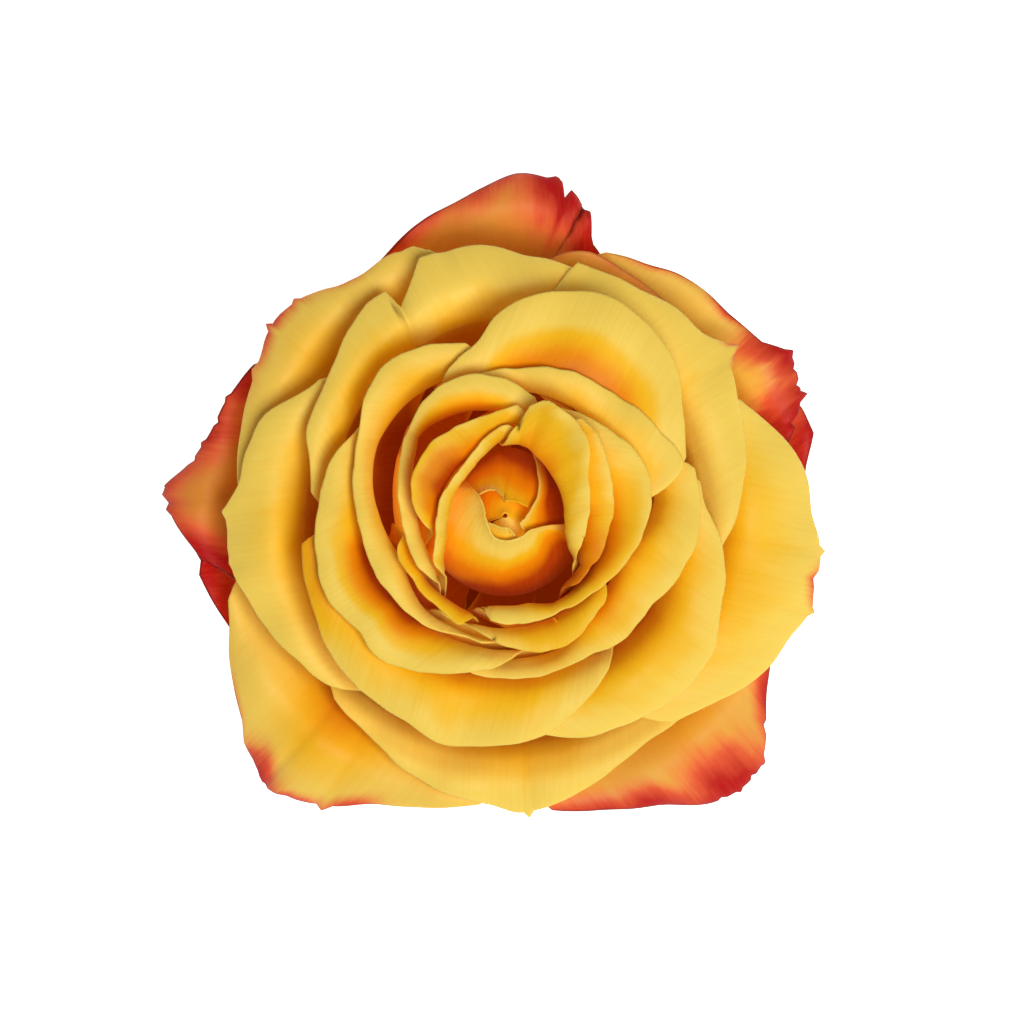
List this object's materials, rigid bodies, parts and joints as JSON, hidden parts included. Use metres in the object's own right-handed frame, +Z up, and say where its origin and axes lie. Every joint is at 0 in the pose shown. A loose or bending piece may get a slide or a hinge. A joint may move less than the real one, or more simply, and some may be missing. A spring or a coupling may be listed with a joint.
{
  "type": "cut rose head",
  "caption": "Fully opened cut rose head with yellow spiral petals, red-flushed guard petals, folded sepals and a short cut stem, standing face up.",
  "frame": {"origin": "centre of the part's outline, at the surface it stands on", "axes": "+Z up along the flower's axis, out of the open face; +Y towards the long red guard petal"},
  "size_m": [0.0946, 0.0914, 0.0666],
  "materials": {
    "petal_heart": "soft satin, deep orange in the crevices",
    "petal_yellow": "soft satin with fine veins",
    "petal_outer": "soft satin with fine veins, faint red at the tips",
    "petal_guard": "soft satin, orange flushed red towards the edge",
    "sepal": "matte green, paler inside",
    "stem": "smooth green with a pale cut end",
    "stamen": "matte golden"
  },
  "bodies": {
    "root": {"stem_and_hip": "stem", "stamens": "stamen", "sepal_1": "sepal", "sepal_2": "sepal", "sepal_3": "sepal", "sepal_4": "sepal", "sepal_5": "sepal", "bud_curl": "petal_heart", "bud_hook": "petal_heart", "bud_left": "petal_heart", "bud_right": "petal_heart", "bud_front": "petal_heart", "heart_left": "petal_heart", "heart_top": "petal_heart", "heart_cap": "petal_heart", "heart_side": "petal_heart", "ring_left": "petal_yellow", "ring_right": "petal_yellow", "ring_inner_left": "petal_heart", "ring_fold": "petal_yellow", "middle_top": "petal_yellow", "middle_right": "petal_yellow", "middle_left": "petal_yellow", "middle_lower_left": "petal_yellow", "middle_lower_right": "petal_yellow", "wide_bottom": "petal_yellow", "wide_lower_right": "petal_yellow", "wide_right": "petal_yellow", "wide_top_left": "petal_yellow", "outer_right": "petal_outer", "outer_left": "petal_outer", "outer_bottom": "petal_outer", "outer_top_left": "petal_outer", "guard_strip": "petal_guard", "guard_lower_left": "petal_guard", "guard_lower_right": "petal_guard", "guard_upper_right": "petal_guard", "guard_right": "petal_guard", "guard_top": "petal_guard", "guard_left": "petal_guard", "guard_left_low": "petal_guard"}
  },
  "joints": []
}
